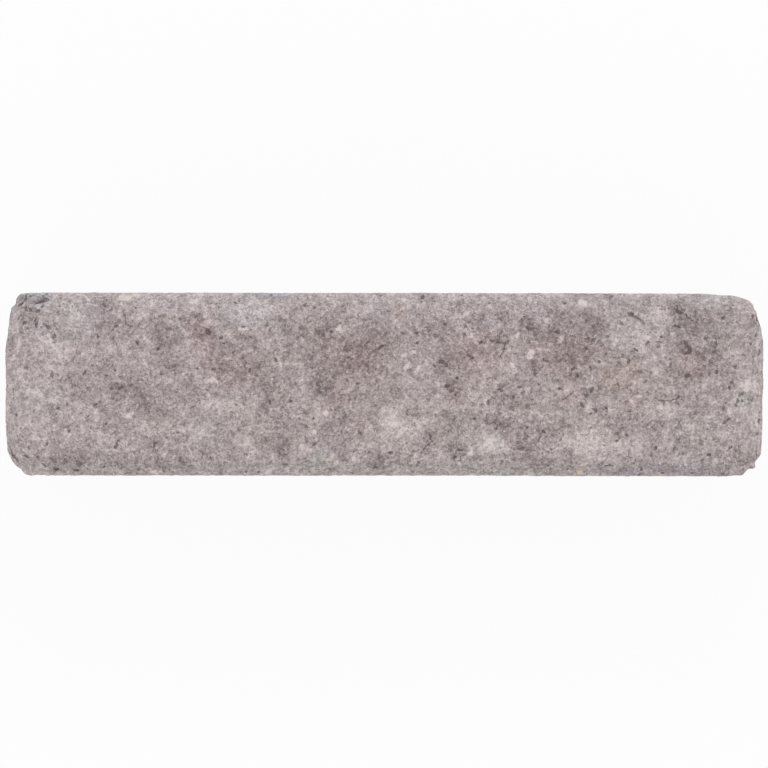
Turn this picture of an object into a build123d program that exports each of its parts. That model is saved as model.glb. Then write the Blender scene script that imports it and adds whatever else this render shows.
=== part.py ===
from build123d import *
from math import hypot, radians, sqrt, tan
from typing import NamedTuple
import os

# Tumbled concrete paver: a long narrow block, pressed in a steel mould, hardened, and then rolled in
# a drum with other blocks until its edges are battered.
# Millimetres. The block stands on its bed face, with the origin under its middle:
# +X along the length, +Y across the width to the back face, +Z up to the wear face.

# Overall size, face to face
length = 199.0
width = 48.0
height = 60.0


class CornerWear(NamedTuple):
    """A worn upright corner, seen from above: a slope between two shoulders. Each face tapers
    slightly inward before it reaches its shoulder."""

    end_shoulder: float  # from the square corner along the end face to its shoulder
    end_taper: float  # from that shoulder on to where the end face is flat
    end_loss: float  # how far the end face is worn back at the shoulder
    slope: tuple  # places on the slope, each (in from the end, in from the side)
    side_shoulder: float  # the first three again, for the side face
    side_taper: float
    side_loss: float
    rounding: float  # radius of the shoulders and of the turns on the slope


# The four upright corners, as they show from above
front_left = CornerWear(
    end_shoulder=6.2,
    end_taper=8.3,
    end_loss=0.65,
    slope=((2.8, 2.9),),
    side_shoulder=5.5,
    side_taper=5.7,
    side_loss=0.4,
    rounding=2.6,
)
# This one is broken in steps, with one grain left standing
front_right = CornerWear(
    end_shoulder=5.6,
    end_taper=7.6,
    end_loss=0.5,
    slope=((1.7, 4.1), (2.15, 3.4), (1.75, 2.5), (2.3, 1.95), (3.7, 1.5), (4.3, 0.85)),
    side_shoulder=5.7,
    side_taper=3.4,
    side_loss=0.3,
    rounding=0.8,
)
back_right = CornerWear(
    end_shoulder=5.2,
    end_taper=6.2,
    end_loss=1.7,
    slope=((3.0, 2.2),),
    side_shoulder=7.9,
    side_taper=9.6,
    side_loss=0.8,
    rounding=2.4,
)
back_left = CornerWear(
    end_shoulder=4.8,
    end_taper=10.0,
    end_loss=1.4,
    slope=((2.75, 2.4), (3.3, 1.3)),
    side_shoulder=4.6,
    side_taper=6.0,
    side_loss=0.2,
    rounding=1.2,
)
taper_rounding = 40.0  # where a flat face turns into its taper


class EdgeWear(NamedTuple):
    """A worn long edge or end edge: a slope between a level face and an upright one."""

    level_run: float  # how far the slope runs in on the level face
    upright_run: float  # how far it runs up or down the upright face
    rounding: float  # radius of both shoulders


# The four long edges
bed_front = EdgeWear(level_run=2.1, upright_run=2.6, rounding=2.4)
bed_back = EdgeWear(level_run=2.8, upright_run=2.2, rounding=2.6)
wear_back = EdgeWear(level_run=2.3, upright_run=2.5, rounding=2.8)
wear_front = EdgeWear(level_run=2.6, upright_run=2.8, rounding=3.0)

# The four edges at the ends, which take more blows in the drum
bed_left = EdgeWear(level_run=3.4, upright_run=4.2, rounding=3.4)
bed_right = EdgeWear(level_run=4.0, upright_run=3.2, rounding=3.2)
wear_right = EdgeWear(level_run=4.2, upright_run=4.4, rounding=4.4)
wear_left = EdgeWear(level_run=3.8, upright_run=4.6, rounding=4.2)


def fitting_radius(before, point, after, radius):
    """The wanted radius, or the largest that leaves the two sides it joins a straight stretch."""
    arriving = Vector(*point) - Vector(*before)
    leaving = Vector(*after) - Vector(*point)
    turn = radians(arriving.get_angle(leaving))
    tangent_length = 0.45 * min(arriving.length, leaving.length)
    return min(radius, tangent_length / tan(turn / 2))


def worn_outline(across, up, walks):
    """Closed outline of a worn rectangle. Each walk goes round one corner, starting with the lower
    left one and on anticlockwise: (distance in from the side, in from the top or bottom, radius)."""
    corner_signs = [(-1, -1), (1, -1), (1, 1), (-1, 1)]
    points = []
    wanted = []
    for (sign_across, sign_up), walk in zip(corner_signs, walks):
        for inset_across, inset_up, radius in walk:
            points.append((sign_across * (across / 2 - inset_across), sign_up * (up / 2 - inset_up)))
            wanted.append(radius)
    afters = points[1:] + points[:1]
    befores = points[-1:] + points[:-1]
    radii = [fitting_radius(*places) for places in zip(befores, points, afters, wanted)]
    FilletPolyline(*points, radius=radii, close=True)


def corner_walk(corner, from_end):
    """Round an upright corner, from the end face to the side face or the other way."""
    walk = [
        (0, corner.end_shoulder + corner.end_taper, taper_rounding),
        (corner.end_loss, corner.end_shoulder, corner.rounding),
        *[(*place, corner.rounding) for place in corner.slope],
        (corner.side_shoulder, corner.side_loss, corner.rounding),
        (corner.side_shoulder + corner.side_taper, 0, taper_rounding),
    ]
    return walk if from_end else walk[::-1]


def edge_walk(edge, from_upright):
    """Round a long edge or end edge, from the upright face to the level face or the other way."""
    walk = [(0, edge.upright_run, edge.rounding), (edge.level_run, 0, edge.rounding)]
    return walk if from_upright else walk[::-1]


def edge_depth(edge):
    """Distance from a square edge down to the slope that cuts it off."""
    return edge.level_run * edge.upright_run / hypot(edge.level_run, edge.upright_run)


def corner_depth(corner):
    """The same for an upright corner: the mean over the places on its slope."""
    return sum(from_end + from_side for from_end, from_side in corner.slope) / sqrt(2) / len(corner.slope)


# An edge is named by its two faces, as signs along X, Y and Z, with a zero along the edge itself.
# Each has the depth of its worn slope below the square edge.
worn_depths = {
    (0, -1, -1): edge_depth(bed_front),
    (0, 1, -1): edge_depth(bed_back),
    (0, 1, 1): edge_depth(wear_back),
    (0, -1, 1): edge_depth(wear_front),
    (-1, 0, -1): edge_depth(bed_left),
    (1, 0, -1): edge_depth(bed_right),
    (1, 0, 1): edge_depth(wear_right),
    (-1, 0, 1): edge_depth(wear_left),
    (-1, -1, 0): corner_depth(front_left),
    (1, -1, 0): corner_depth(front_right),
    (1, 1, 0): corner_depth(back_right),
    (-1, 1, 0): corner_depth(back_left),
}


class Chip(NamedTuple):
    """A scoop knocked out of a worn edge, rounded like the inside of a shell."""

    share: float  # its place along the edge, from 0 at the left, front or bed end to 1
    size: float  # its length along the edge
    bite: float  # how deep it goes below the worn slope


chips = {
    # Long edges of the wear face, back and front
    (0, 1, 1): [
        Chip(share=0.055, size=9.0, bite=0.9),
        Chip(share=0.115, size=6.5, bite=0.5),
        Chip(share=0.16, size=6.0, bite=0.6),
        Chip(share=0.245, size=8.0, bite=0.5),
        Chip(share=0.345, size=14.0, bite=0.8),
        Chip(share=0.42, size=6.0, bite=0.45),
        Chip(share=0.48, size=5.0, bite=0.5),
        Chip(share=0.547, size=4.0, bite=0.7),
        Chip(share=0.63, size=9.0, bite=0.5),
        Chip(share=0.72, size=9.0, bite=0.5),
        Chip(share=0.79, size=6.0, bite=0.5),
        Chip(share=0.9, size=10.0, bite=0.8),
    ],
    (0, -1, 1): [
        Chip(share=0.07, size=8.0, bite=0.9),
        Chip(share=0.135, size=6.0, bite=0.5),
        Chip(share=0.24, size=7.0, bite=0.6),
        Chip(share=0.335, size=9.0, bite=0.55),
        Chip(share=0.425, size=9.0, bite=0.8),
        Chip(share=0.5, size=6.0, bite=0.45),
        Chip(share=0.6, size=6.0, bite=0.5),
        Chip(share=0.695, size=8.0, bite=0.6),
        Chip(share=0.8, size=12.0, bite=0.7),
        Chip(share=0.865, size=5.0, bite=0.45),
        Chip(share=0.93, size=7.0, bite=0.9),
    ],
    # Long edges of the bed, back and front
    (0, 1, -1): [
        Chip(share=0.12, size=11.0, bite=1.2),
        Chip(share=0.26, size=7.0, bite=0.6),
        Chip(share=0.41, size=8.0, bite=0.8),
        Chip(share=0.53, size=6.0, bite=0.5),
        Chip(share=0.66, size=15.0, bite=1.0),
        Chip(share=0.78, size=7.0, bite=0.6),
        Chip(share=0.88, size=7.0, bite=0.8),
    ],
    (0, -1, -1): [
        Chip(share=0.09, size=8.0, bite=0.9),
        Chip(share=0.2, size=7.0, bite=0.6),
        Chip(share=0.33, size=16.0, bite=1.2),
        Chip(share=0.46, size=6.0, bite=0.5),
        Chip(share=0.57, size=7.0, bite=0.7),
        Chip(share=0.7, size=8.0, bite=0.6),
        Chip(share=0.84, size=12.0, bite=1.1),
    ],
    # End edges of the wear face, left and right
    (-1, 0, 1): [
        Chip(share=0.3, size=8.0, bite=0.7),
        Chip(share=0.5, size=6.0, bite=0.5),
        Chip(share=0.68, size=10.0, bite=0.9),
    ],
    (1, 0, 1): [
        Chip(share=0.35, size=9.0, bite=0.8),
        Chip(share=0.54, size=5.0, bite=0.5),
        Chip(share=0.7, size=7.0, bite=0.6),
    ],
    # End edges of the bed, left and right
    (-1, 0, -1): [
        Chip(share=0.4, size=12.0, bite=1.1),
        Chip(share=0.66, size=7.0, bite=0.6),
    ],
    (1, 0, -1): [
        Chip(share=0.3, size=7.0, bite=0.6),
        Chip(share=0.55, size=13.0, bite=1.2),
    ],
    # Upright corners: back left, front left, back right and front right
    (-1, 1, 0): [
        Chip(share=0.25, size=10.0, bite=0.9),
        Chip(share=0.45, size=6.0, bite=0.5),
        Chip(share=0.62, size=8.0, bite=0.7),
    ],
    (-1, -1, 0): [
        Chip(share=0.24, size=7.0, bite=0.6),
        Chip(share=0.45, size=11.0, bite=0.8),
        Chip(share=0.66, size=6.0, bite=0.5),
    ],
    (1, 1, 0): [
        Chip(share=0.3, size=9.0, bite=0.8),
        Chip(share=0.48, size=6.0, bite=0.5),
        Chip(share=0.66, size=9.0, bite=0.7),
    ],
    (1, -1, 0): [
        Chip(share=0.2, size=8.0, bite=0.8),
        Chip(share=0.45, size=10.0, bite=0.8),
    ],
}


def chip_radius(chip):
    """Radius of a ball whose cap is as long and as deep as the chip."""
    return (chip.size**2 / 4 + chip.bite**2) / (2 * chip.bite)


def chip_centre(faces, chip):
    """Centre of that ball, straight out from the edge between the two faces."""
    spans = (length, width, height)
    block_middle = Vector(0, 0, height / 2)
    edge_middle = block_middle + Vector(*[sign * span / 2 for sign, span in zip(faces, spans)])
    along_edge = Vector(*[span if sign == 0 else 0 for sign, span in zip(faces, spans)])
    outward = Vector(*faces).normalized()
    lift = chip_radius(chip) - worn_depths[faces] - chip.bite
    return edge_middle + along_edge * (chip.share - 0.5) + outward * lift


class Knock(NamedTuple):
    """A vertex broken off to a flat facet, which meets each of its three edges this far in. A long
    way on the height makes it a narrow facet that runs up or down the whole corner."""

    on_length: float
    on_width: float
    on_height: float


# The vertices by their signs along X, Y and Z
knocks = [
    ((-1, -1, -1), Knock(on_length=11.0, on_width=10.5, on_height=8.5)),
    ((1, -1, -1), Knock(on_length=10.0, on_width=9.5, on_height=10.5)),
    ((1, -1, -1), Knock(on_length=10.0, on_width=9.5, on_height=90.0)),
    ((1, 1, -1), Knock(on_length=12.0, on_width=10.0, on_height=9.0)),
    ((-1, 1, -1), Knock(on_length=9.5, on_width=11.5, on_height=9.5)),
    ((-1, 1, -1), Knock(on_length=8.2, on_width=8.6, on_height=120.0)),
    ((-1, -1, 1), Knock(on_length=10.0, on_width=10.5, on_height=7.5)),
    ((1, -1, 1), Knock(on_length=11.0, on_width=9.5, on_height=7.5)),
    ((1, 1, 1), Knock(on_length=12.5, on_width=10.5, on_height=8.5)),
    ((-1, 1, 1), Knock(on_length=10.5, on_width=8.5, on_height=8.0)),
]


def knock_plane(vertex_signs, knock):
    """Plane of a knocked-off vertex, facing out of the block."""
    sign_x, sign_y, sign_z = vertex_signs
    on_long_edge = Vector(
        sign_x * (length / 2 - knock.on_length),
        sign_y * width / 2,
        (1 + sign_z) * height / 2,
    )
    outward = Vector(sign_x / knock.on_length, sign_y / knock.on_width, sign_z / knock.on_height)
    return Plane(origin=on_long_edge, z_dir=outward)


# The left end, seen along the block, and the back face, seen from the front
section_plane = Plane(origin=(-length / 2, 0, height / 2), x_dir=(0, 1, 0), z_dir=(1, 0, 0))
side_plane = Plane(origin=(0, width / 2, height / 2), x_dir=(1, 0, 0), z_dir=(0, -1, 0))

with BuildPart() as paver:
    # Seen from above: the four upright corners
    with BuildSketch(Plane.XY):
        with BuildLine():
            worn_outline(
                length,
                width,
                [
                    corner_walk(front_left, from_end=True),
                    corner_walk(front_right, from_end=False),
                    corner_walk(back_right, from_end=True),
                    corner_walk(back_left, from_end=False),
                ],
            )
        make_face()
    extrude(amount=height)

    # Its cross-section: the four long edges
    with BuildSketch(section_plane):
        with BuildLine():
            worn_outline(
                width,
                height,
                [
                    edge_walk(bed_front, from_upright=True),
                    edge_walk(bed_back, from_upright=False),
                    edge_walk(wear_back, from_upright=True),
                    edge_walk(wear_front, from_upright=False),
                ],
            )
        make_face()
    extrude(amount=length, mode=Mode.INTERSECT)

    # Its side view: the four edges at the ends
    with BuildSketch(side_plane):
        with BuildLine():
            worn_outline(
                length,
                height,
                [
                    edge_walk(bed_left, from_upright=True),
                    edge_walk(bed_right, from_upright=False),
                    edge_walk(wear_right, from_upright=True),
                    edge_walk(wear_left, from_upright=False),
                ],
            )
        make_face()
    extrude(amount=width, mode=Mode.INTERSECT)

    # The broken vertices
    for vertex_signs, knock in knocks:
        split(bisect_by=knock_plane(vertex_signs, knock), keep=Keep.BOTTOM)

    # The chips along the edges
    for faces, row in chips.items():
        for chip in row:
            with Locations(chip_centre(faces, chip)):
                Sphere(chip_radius(chip), mode=Mode.SUBTRACT)

paver.part.label = "paver"

os.makedirs("parts", exist_ok=True)
export_step(paver.part, "parts/paver.step")
print("volume, cm3:", round(paver.part.volume / 1000, 1))
print("box, mm:", paver.part.bounding_box().size)
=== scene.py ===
# %% [markdown]
# # A tumbled concrete paver
# This lesson dresses one paving block: a long narrow bar of pressed concrete that was rolled in a
# drum until its edges were battered and its skin looked old. The exact solid comes from the frame.
# Blender adds what the solid leaves out: the knocked edges, the pits and clefts, the sand in the
# skin, the stains of the pigment, and then the floor, the light and the camera.

# %% Load the frame
import bpy
import math
import numpy as np
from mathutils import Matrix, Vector, kdtree
from typing import NamedTuple


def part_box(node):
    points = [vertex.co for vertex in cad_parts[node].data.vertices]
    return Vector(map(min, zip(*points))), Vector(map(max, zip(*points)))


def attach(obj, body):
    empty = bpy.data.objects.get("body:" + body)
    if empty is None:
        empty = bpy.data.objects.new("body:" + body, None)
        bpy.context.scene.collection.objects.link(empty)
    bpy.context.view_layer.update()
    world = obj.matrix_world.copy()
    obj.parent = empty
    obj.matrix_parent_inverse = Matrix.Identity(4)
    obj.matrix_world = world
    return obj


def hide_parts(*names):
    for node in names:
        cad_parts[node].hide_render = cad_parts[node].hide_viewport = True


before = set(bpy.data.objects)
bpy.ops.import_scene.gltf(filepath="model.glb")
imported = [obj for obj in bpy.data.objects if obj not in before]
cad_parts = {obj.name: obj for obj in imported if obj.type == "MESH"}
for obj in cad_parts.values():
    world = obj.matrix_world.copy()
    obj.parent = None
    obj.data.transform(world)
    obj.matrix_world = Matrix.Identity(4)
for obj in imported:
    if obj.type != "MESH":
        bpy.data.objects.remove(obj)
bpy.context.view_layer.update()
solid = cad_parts["paver"]
low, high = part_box("paver")
LENGTH, WIDTH, HEIGHT = (high - low) * 1000
print("the solid measures", round(LENGTH, 1), "x", round(WIDTH, 1), "x", round(HEIGHT, 1), "mm")

# %% [markdown]
# ## Places on the wear face
# The photograph looks straight down on the wear face, so a spot in the picture is a spot on the
# block. One scale turns picture steps into millimetres: the block's length over the number of steps
# that it covers. All the marks below are given where they were seen, and placed by this one rule.

# %% From the picture to millimetres
PICTURE_SIDE = 768
PICTURE_MIDDLE = (384.1, 384.35)
PICTURE_LENGTH = 758.5
STEP = LENGTH / PICTURE_LENGTH


def across(step_x):
    """Millimetres along the block for a place across the picture."""
    return (step_x - PICTURE_MIDDLE[0]) * STEP


def upward(step_y):
    """Millimetres towards the back of the block for a place down the picture."""
    return (PICTURE_MIDDLE[1] - step_y) * STEP


print("one picture step is", round(STEP, 4), "mm")

# %% [markdown]
# ## Repeatable roughness
# Concrete is rough at every size, and the roughness has to come out the same on each run. Blender's
# own noise could be read point by point, but a few lines of numpy treat all the points at once. The
# helper below hashes the whole-number corners round each point and blends their slopes smoothly,
# which is gradient noise: it swings between about -1 and 1, and its grain is as wide as we ask.

# %% Gradient noise for many points
CELL_FACTORS = (374761393, 668265263, 2147483629)
SALT_FACTOR = 97531


def hashed(cells, salt):
    """A number from 0 to 1 for each whole-number cell, always the same for the same salt."""
    mixed = (cells * CELL_FACTORS).sum(-1) + salt * SALT_FACTOR
    mixed = ((mixed ^ (mixed >> 13)) * 1274126177) & 0xFFFFFFFF
    mixed = ((mixed ^ (mixed >> 16)) * 2246822519) & 0xFFFFFFFF
    return (mixed >> 8 & 0xFFFF) / 65535.0


def noise(points, grain, salt=0):
    """Gradient noise with this grain, in millimetres. The grain may differ along X, Y and Z."""
    scaled = points / np.asarray(grain, float) + salt * 17.31
    whole = np.floor(scaled).astype(np.int64)
    part = scaled - whole
    ease = part * part * part * (part * (part * 6 - 15) + 10)
    total = np.zeros(len(points))
    for corner in np.ndindex(2, 2, 2):
        offset = part - corner
        slopes = np.stack([hashed(whole + corner, salt * 3 + axis) * 2 - 1 for axis in range(3)], 1)
        weight = np.prod(np.where(np.array(corner) == 1, ease, 1 - ease), 1)
        total += weight * (offset * slopes).sum(1)
    return total * 1.9


def ramp(values, start, end):
    """0 at the start, 1 at the end, and smooth between them."""
    share = np.clip((values - start) / (end - start), 0, 1)
    return share * share * (3 - 2 * share)


# %% [markdown]
# ## A fine skin round the solid
# The solid has the true size, its worn corners and its larger chips, but its big flat faces have no
# points to push about. A subdivision would keep its long thin triangles. A voxel remesh wraps it in
# even little squares instead, and a few rounds of smoothing take the drawn look off its facets.

# %% Remesh a copy of the solid
VOXEL = 0.00031
SOFTENING_ROUNDS = 8


def add_object(name, data):
    """A new object of the scene that shows this data."""
    made = bpy.data.objects.new(name, data)
    bpy.context.scene.collection.objects.link(made)
    return made


def settled(thing):
    """A plain mesh with the thing's modifiers applied."""
    ready = thing.evaluated_get(bpy.context.evaluated_depsgraph_get())
    return bpy.data.meshes.new_from_object(ready)


paver = add_object("worn_paver", solid.data.copy())
wrap = paver.modifiers.new("wrap", "REMESH")
wrap.mode = "VOXEL"
wrap.voxel_size = VOXEL
soften = paver.modifiers.new("soften", "SMOOTH")
soften.factor = 0.5
soften.iterations = SOFTENING_ROUNDS
skin = settled(paver)
paver.modifiers.clear()
paver.data = skin
print("the skin has", len(skin.vertices), "points")


# %% Read its points and their outward directions
def rows_of(items, name):
    """What each of these items says under this name, as a row of three numbers."""
    flat = np.empty(len(items) * 3)
    items.foreach_get(name, flat)
    return flat.reshape(-1, 3)


def depths_of(places):
    """How far each place lies inside the box, along each axis, with the least depth first."""
    along_axes = (
        LENGTH / 2 - np.abs(places[:, 0]),
        WIDTH / 2 - np.abs(places[:, 1]),
        np.minimum(places[:, 2], HEIGHT - places[:, 2]),
    )
    return np.sort(np.stack(along_axes, 1), axis=1)


count = len(skin.vertices)
points = rows_of(skin.vertices, "co") * 1000
outward = rows_of(skin.vertices, "normal")
depths = depths_of(points)
near_edge = 1 - ramp(depths[:, 1], 1.5, 7.0)
near_vertex = 1 - ramp(depths[:, 2], 3.0, 13.0)
on_wear_face = ramp(outward[:, 2], 0.35, 0.8)
on_bed = ramp(-outward[:, 2], 0.35, 0.8)
on_sides = 1 - on_wear_face - on_bed
print("points near an edge:", int((near_edge > 0.5).sum()))

# %% [markdown]
# ## What the drum did
# A tumbled block is blunt where it was sharp. Blows crumble the edges a grain at a time, so they
# waver in and out by part of a millimetre, most at the eight vertices, while the middle of each face
# keeps the mould's flatness but for a slow swell. Noise in three sizes, weighed by how near an edge
# lies, says how far each point sinks. Noise alone looks kneaded, though, and concrete breaks: each
# lost grain leaves a little scoop with a sharp rim. Scoops round scattered seeds give that look.

# %% Scoops round scattered seeds
def scooped(points, size, salt):
    """How deep each point lies in its nearest scoop: 1 in the middle, and sharp rims between."""
    scaled = points / size
    whole = np.floor(scaled).astype(np.int64)
    nearest = np.full(len(points), 9.0)
    for step in np.ndindex(3, 3, 3):
        cell = whole + step - 1
        seed = np.stack([hashed(cell, salt * 3 + axis) for axis in range(3)], 1)
        nearest = np.minimum(nearest, ((cell + seed - scaled) ** 2).sum(1))
    return np.clip(1 - nearest, 0, 1)


# %% Sink the edges and swell the faces
sink = 0.04 + 0.07 * noise(points, 34, 1)
crumble = 0.34 * np.abs(noise(points, 6.5, 2)) + 0.24 * np.abs(noise(points, 2.9, 3))
crumble += 0.12 * noise(points, 1.5, 4)
sink += near_edge * (crumble - 0.12) * (0.6 + 0.4 * near_vertex)
battered = 1 - ramp(depths[:, 1], 0.9, 4.2)
at_edge = np.flatnonzero(battered > 0.01)
edge_points = points[at_edge]
warped = edge_points + np.stack([noise(edge_points, 3, salt) for salt in (5, 13, 14)], 1) * 0.5
scoops = 0.42 * scooped(warped, 4.4, 15) + 0.24 * scooped(warped, 2.1, 16) - 0.31
sink[at_edge] += battered[at_edge] * scoops * (0.5 + 0.5 * ramp(noise(edge_points, 14, 17), -0.3, 0.4))
print("deepest sink on an edge:", round(float(sink.max()), 2), "mm")

# %% [markdown]
# ## The outline
# Seen from above, the rim of the block runs a little further in or out than the solid's here and
# there. At those places the skin moves by a few tenths of a millimetre from top to bottom. The wear
# face takes no part in it, so it stays level.


# %% Where the outline runs further in or out than the solid
class Waver(NamedTuple):
    """A place on the outline, its reach along the outline and how far it goes in, in millimetres."""

    x: float
    y: float
    reach: float
    inward: float


WAVERS = [
    Waver(15.5, 305, 1.2, 0.12),
    Waver(17, 298, 2.0, -0.25),
    Waver(710, 294, 4.0, -0.15),
    Waver(735, 297, 4.5, -0.25),
    Waver(751, 302, 2.2, -0.15),
    Waver(755, 307, 1.1, 0.22),
    Waver(762, 384, 3.0, -0.25),
    Waver(748.5, 472, 1.7, 0.4),
    Waver(756.5, 461.5, 0.9, 0.12),
    Waver(29, 474.5, 2.2, -0.35),
    Waver(14, 464, 2.5, -0.15),
    Waver(762, 352, 9.0, -0.2),
    Waver(5, 352, 5.0, -0.12),
    Waver(4.5, 387, 4.0, 0.12),
]
for waver in WAVERS:
    from_place = np.hypot(points[:, 0] - across(waver.x), points[:, 1] - upward(waver.y))
    sink += waver.inward * (1 - ramp(from_place, 0.3 * waver.reach, waver.reach)) * (1 - on_wear_face)
print("places on the outline:", len(WAVERS))

# %% [markdown]
# ## The sand in the skin
# The faces aren't smooth either. On the wear face and the bed the grains of sand stand out as low
# lumps about a millimetre wide. The upright faces slid out of the mould, which combed them into
# faint lines from top to bottom. Noise with a longer grain along Z gives those lines.

# %% Lumps of sand, and the mould's drag lines
lumps = 0.055 * noise(points, 2.3, 6) + 0.05 * noise(points, 1.15, 7)
drag = 0.07 * noise(points, (1.3, 1.3, 16), 8) + 0.04 * noise(points, (0.9, 0.9, 6), 9)
sink -= lumps * (1 + 0.5 * on_bed + 0.3 * near_edge)
sink -= drag * on_sides * (1 - near_edge)
sink += 0.12 * np.abs(noise(points, 3.4, 10)) * on_bed

# %% [markdown]
# ## Pits and clefts
# Air and lost grains leave pits, and blows leave clefts. The ones that show in the photograph are
# placed one by one. The rest are strewn at random, from a fixed seed, more on the bed and the sides,
# where pressed concrete is more open. Each pit is a small bowl, so it needs only its neighbours: a
# k-d tree finds the points within its rim.

# %% Tools that press a pit or a cleft
def tree_of(places, indices):
    """A k-d tree of these points, which gives their indices back."""
    made = kdtree.KDTree(len(indices))
    for index, place in zip(indices.tolist(), places.tolist()):
        made.insert(place, index)
    made.balance()
    return made


pit_tree = tree_of(points, np.arange(count))
seen_from_above = np.flatnonzero(outward[:, 2] > 0.15)
plan_tree = tree_of(points[seen_from_above] * (1, 1, 0), seen_from_above)
# Painted shade: how deep each point lies in a pit, cleft or void, or in the gap round a stone, times its
# darkness. The material darkens the colour there, where shade would lie.
hollow_shade = np.zeros(count)


def press(centre, rim, depth, dark=1.0, narrow=(0.0, 0.0, 1.0), squeeze=1.0):
    """Sinks a bowl of this depth with a ragged rim, and notes for its points how deep in the bowl they
    lie, times dark, as painted shade for the material. A squeeze makes the bowl that many times narrower
    along one direction."""
    found = pit_tree.find_range(centre, rim * 1.4)
    if not found:
        return
    inside = np.array([spot[1] for spot in found])
    away = points[inside] - centre
    along_narrow = away @ np.asarray(narrow)
    distance = np.sqrt((away**2).sum(1) + (squeeze**2 - 1) * along_narrow**2) / rim
    bowl = 1 - ramp(distance + 0.35 * noise(points[inside], 0.7, 11), 0.1, 1.2)
    np.maximum.at(hollow_shade, inside, bowl * dark)
    sink[inside] += bowl * depth


def surface_place(x, y):
    """The point of the skin straight above a place, in millimetres."""
    nearest = plan_tree.find((x, y, 0))[1]
    return points[nearest]


class Pit(NamedTuple):
    """A pit seen on the wear face: its middle, length and width in the picture, its slant in degrees
    from across, and how dark its painted shade is."""

    x: float
    y: float
    long: float
    wide: float
    slant: float
    dark: float = 1.0


class Cleft(NamedTuple):
    """A cleft seen on the wear face: the picture places that it runs through, its width, and how
    dark its painted shade is."""

    route: tuple
    wide: float
    dark: float = 0.62


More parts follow.
